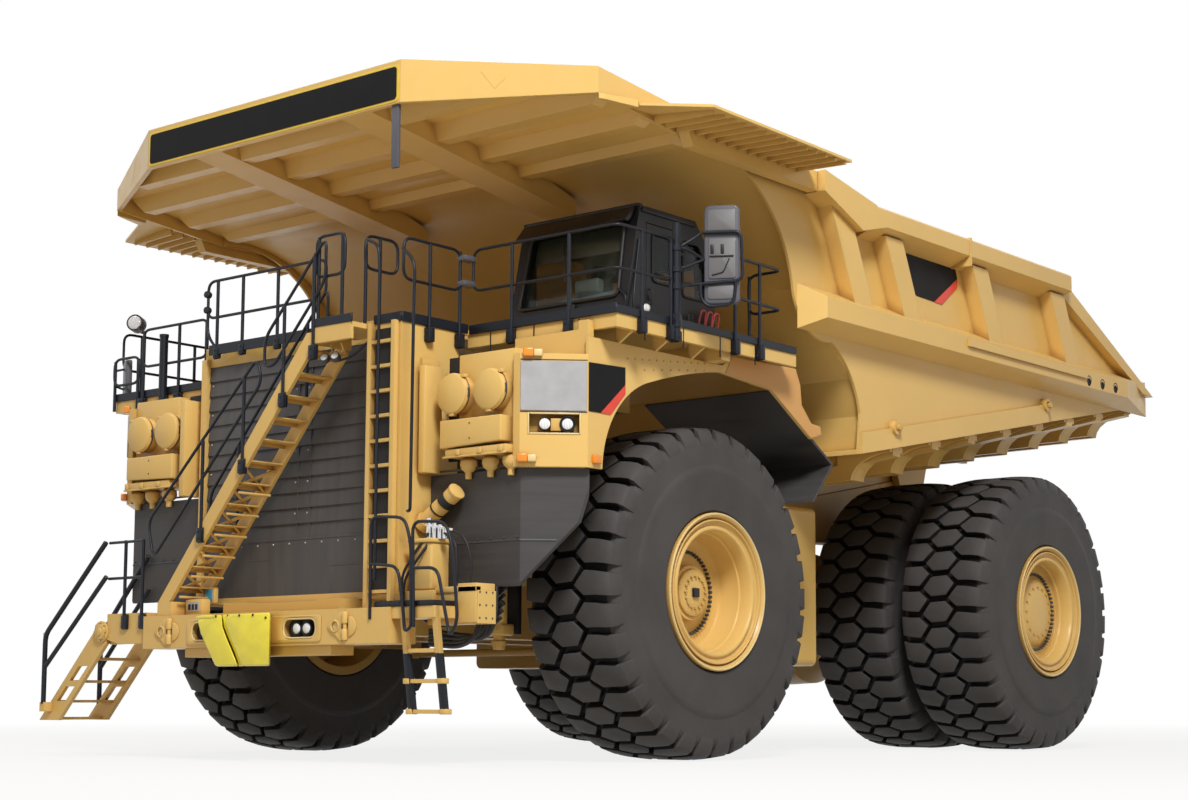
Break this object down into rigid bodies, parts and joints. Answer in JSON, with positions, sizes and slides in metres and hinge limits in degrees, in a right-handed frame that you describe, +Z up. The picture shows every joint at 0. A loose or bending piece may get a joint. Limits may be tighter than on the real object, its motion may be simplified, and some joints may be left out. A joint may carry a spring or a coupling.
{
  "type": "mining dump truck",
  "caption": "Rigid rear-dump mining haul truck with a canopied tipping body, twin rear wheels, steered front wheels, side cab, deck handrails, stairway and hoist cylinders.",
  "frame": {"origin": "middle of the truck's overall box, on the ground", "axes": "+Z up, front faces -Y, the truck's own left side is +X"},
  "size_m": [10.6, 15.23, 7.9097],
  "materials": {
    "machine_yellow": "satin yellow enamel",
    "frame_yellow": "satin yellow enamel",
    "cast_yellow": "yellow paint on castings",
    "dark_enamel": "dark grey enamel",
    "rail_enamel": "blue-black enamel",
    "tyre_rubber": "matt black tyre rubber",
    "guard_rubber": "black rubber sheet",
    "window_glass": "tinted safety glass",
    "seat_cloth": "dark cloth",
    "cab_plastic": "dark grey plastic",
    "hard_chrome": "polished rod",
    "chock_yellow": "bright yellow plastic",
    "lamp_lens": "clear lens",
    "steel_block": "bare iron"
  },
  "bodies": {
    "chassis": {"main_frame": "frame_yellow", "rear_axle": "cast_yellow", "suspension_struts": "cast_yellow", "engine_block": "steel_block", "front_bumper": "frame_yellow", "radiator_grille": "dark_enamel", "radiator_surround": "machine_yellow", "fenders": "machine_yellow", "air_cleaners": "machine_yellow", "mudguards": "guard_rubber", "left_deck": "machine_yellow", "right_deck": "machine_yellow", "deck_supports": "frame_yellow", "centre_platform": "machine_yellow", "stairway": "machine_yellow", "ladders": "machine_yellow", "deck_handrails": "rail_enamel", "stairway_handrails": "rail_enamel", "boarding_landing": "machine_yellow", "cab_shell": "dark_enamel", "cab_windows": "window_glass", "operator_seat": "seat_cloth", "dashboard": "cab_plastic", "fuel_tank": "machine_yellow", "hydraulic_tank": "machine_yellow", "wheel_chocks": "chock_yellow", "headlamps": "lamp_lens", "mirrors": "rail_enamel"},
    "dump_body": {"body_floor": "machine_yellow", "body_left_side": "machine_yellow", "body_right_side": "machine_yellow", "body_front_wall": "machine_yellow", "body_canopy": "machine_yellow", "gutter_flaps": "machine_yellow", "rock_ejectors": "frame_yellow"},
    "hoist_barrels": {"hoist_barrels": "frame_yellow"},
    "hoist_stages": {"hoist_stages": "hard_chrome"},
    "hoist_rods": {"hoist_rods": "hard_chrome"},
    "left_knuckle": {"left_knuckle": "cast_yellow"},
    "right_knuckle": {"right_knuckle": "cast_yellow"},
    "tie_rod": {"tie_rod": "frame_yellow"},
    "front_left_wheel": {"front_left_tyre": "tyre_rubber", "front_left_rim": "cast_yellow"},
    "front_right_wheel": {"front_right_tyre": "tyre_rubber", "front_right_rim": "cast_yellow"},
    "rear_left_wheels": {"rear_left_tyres": "tyre_rubber", "rear_left_rims": "cast_yellow"},
    "rear_right_wheels": {"rear_right_tyres": "tyre_rubber", "rear_right_rims": "cast_yellow"},
    "cab_door": {"cab_door": "dark_enamel"},
    "boarding_steps": {"boarding_steps": "machine_yellow"}
  },
  "joints": [
    {"name": "body_hoist", "type": "hinge", "parent": "chassis", "child": "dump_body", "pos_m": [0, 5.385, 3.95], "axis": [-1, 0, 0], "range_deg": [0, 45]},
    {"name": "hoist_barrel_swing", "type": "hinge", "parent": "chassis", "child": "hoist_barrels", "pos_m": [0, 0.535, 1.35], "axis": [-1, 0, 0], "range_deg": [-0.5, 3.64]},
    {"name": "hoist_stage_slide", "type": "slide", "parent": "hoist_barrels", "child": "hoist_stages", "axis": [0, 0.2801, 0.96], "range_m": [0, 1.5673]},
    {"name": "hoist_rod_slide", "type": "slide", "parent": "hoist_stages", "child": "hoist_rods", "axis": [0, 0.2801, 0.96], "range_m": [0, 1.5673]},
    {"name": "steer_left", "type": "hinge", "parent": "chassis", "child": "left_knuckle", "pos_m": [2.13, -3.615, 2], "axis": [0, 0, 1], "range_deg": [-38, 38]},
    {"name": "steer_right", "type": "hinge", "parent": "chassis", "child": "right_knuckle", "pos_m": [-2.13, -3.615, 2], "axis": [0, 0, 1], "range_deg": [-38.5, 38.5]},
    {"name": "tie_rod_pin", "type": "hinge", "parent": "left_knuckle", "child": "tie_rod", "pos_m": [2.13, -2.715, 1.355], "axis": [0, 0, 1], "range_deg": [-38.5, 38.5]},
    {"name": "front_left_roll", "type": "hinge", "parent": "left_knuckle", "child": "front_left_wheel", "pos_m": [3.267, -3.615, 2], "axis": [1, 0, 0], "continuous": true},
    {"name": "front_right_roll", "type": "hinge", "parent": "right_knuckle", "child": "front_right_wheel", "pos_m": [-3.267, -3.615, 2], "axis": [1, 0, 0], "continuous": true},
    {"name": "rear_left_roll", "type": "hinge", "parent": "chassis", "child": "rear_left_wheels", "pos_m": [3.116, 3.58, 2], "axis": [1, 0, 0], "continuous": true},
    {"name": "rear_right_roll", "type": "hinge", "parent": "chassis", "child": "rear_right_wheels", "pos_m": [-3.116, 3.58, 2], "axis": [1, 0, 0], "continuous": true},
    {"name": "cab_door_hinge", "type": "hinge", "parent": "chassis", "child": "cab_door", "pos_m": [3.722, -4.035, 5.7], "axis": [0, 0, 1], "range_deg": [0, 85]},
    {"name": "boarding_steps_fold", "type": "hinge", "parent": "chassis", "child": "boarding_steps", "pos_m": [-2.95, -7.065, 1.56], "axis": [0, 1, 0], "range_deg": [0, 95]}
  ],
  "couplings": [
    {"joint": "hoist_barrel_swing", "follows": "body_hoist", "ratio": 0.0697},
    {"joint": "hoist_stage_slide", "follows": "body_hoist", "m_per_rad": 1.993},
    {"joint": "hoist_rod_slide", "follows": "body_hoist", "m_per_rad": 1.993},
    {"joint": "steer_right", "follows": "steer_left", "ratio": 1},
    {"joint": "tie_rod_pin", "follows": "steer_left", "ratio": -1}
  ]
}
